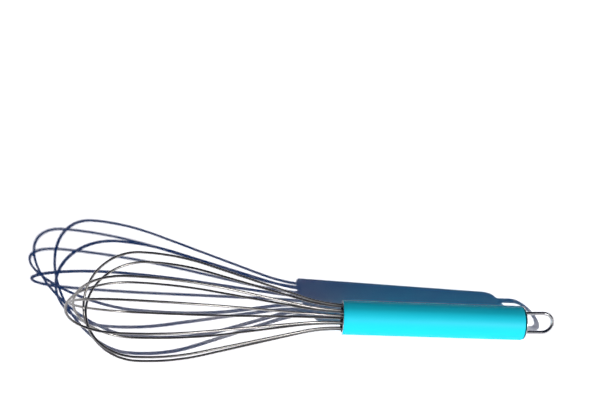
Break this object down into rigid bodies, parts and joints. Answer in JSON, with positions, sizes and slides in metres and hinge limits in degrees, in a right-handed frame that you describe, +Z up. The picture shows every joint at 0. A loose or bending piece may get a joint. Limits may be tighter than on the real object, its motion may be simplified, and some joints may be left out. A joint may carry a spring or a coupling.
{
  "type": "balloon whisk",
  "caption": "Balloon whisk with nested polished wire loops, a turquoise tubular grip and a steel hanging loop.",
  "frame": {"origin": "on the table, under the middle of the whisk's floor area", "axes": "+X from the balloon towards the hanging loop, +Z up, +Y away from the camera of the picture; the whisk lies at rest on two strands and the end of its grip"},
  "size_m": [0.2964, 0.068, 0.0695],
  "materials": {
    "wire": "polished stainless spring wire",
    "plug": "dark moulded plastic",
    "tube": "plain steel tube",
    "grip": "satin turquoise",
    "cap": "polished steel",
    "loop": "polished steel bar"
  },
  "bodies": {
    "root": {"wire_loop_1": "wire", "wire_loop_2": "wire", "wire_loop_3": "wire", "wire_loop_4": "wire", "wire_loop_5": "wire", "wire_plug": "plug", "core_tube": "tube", "grip_sleeve": "grip", "end_cap": "cap", "hanging_loop": "loop"}
  },
  "joints": []
}
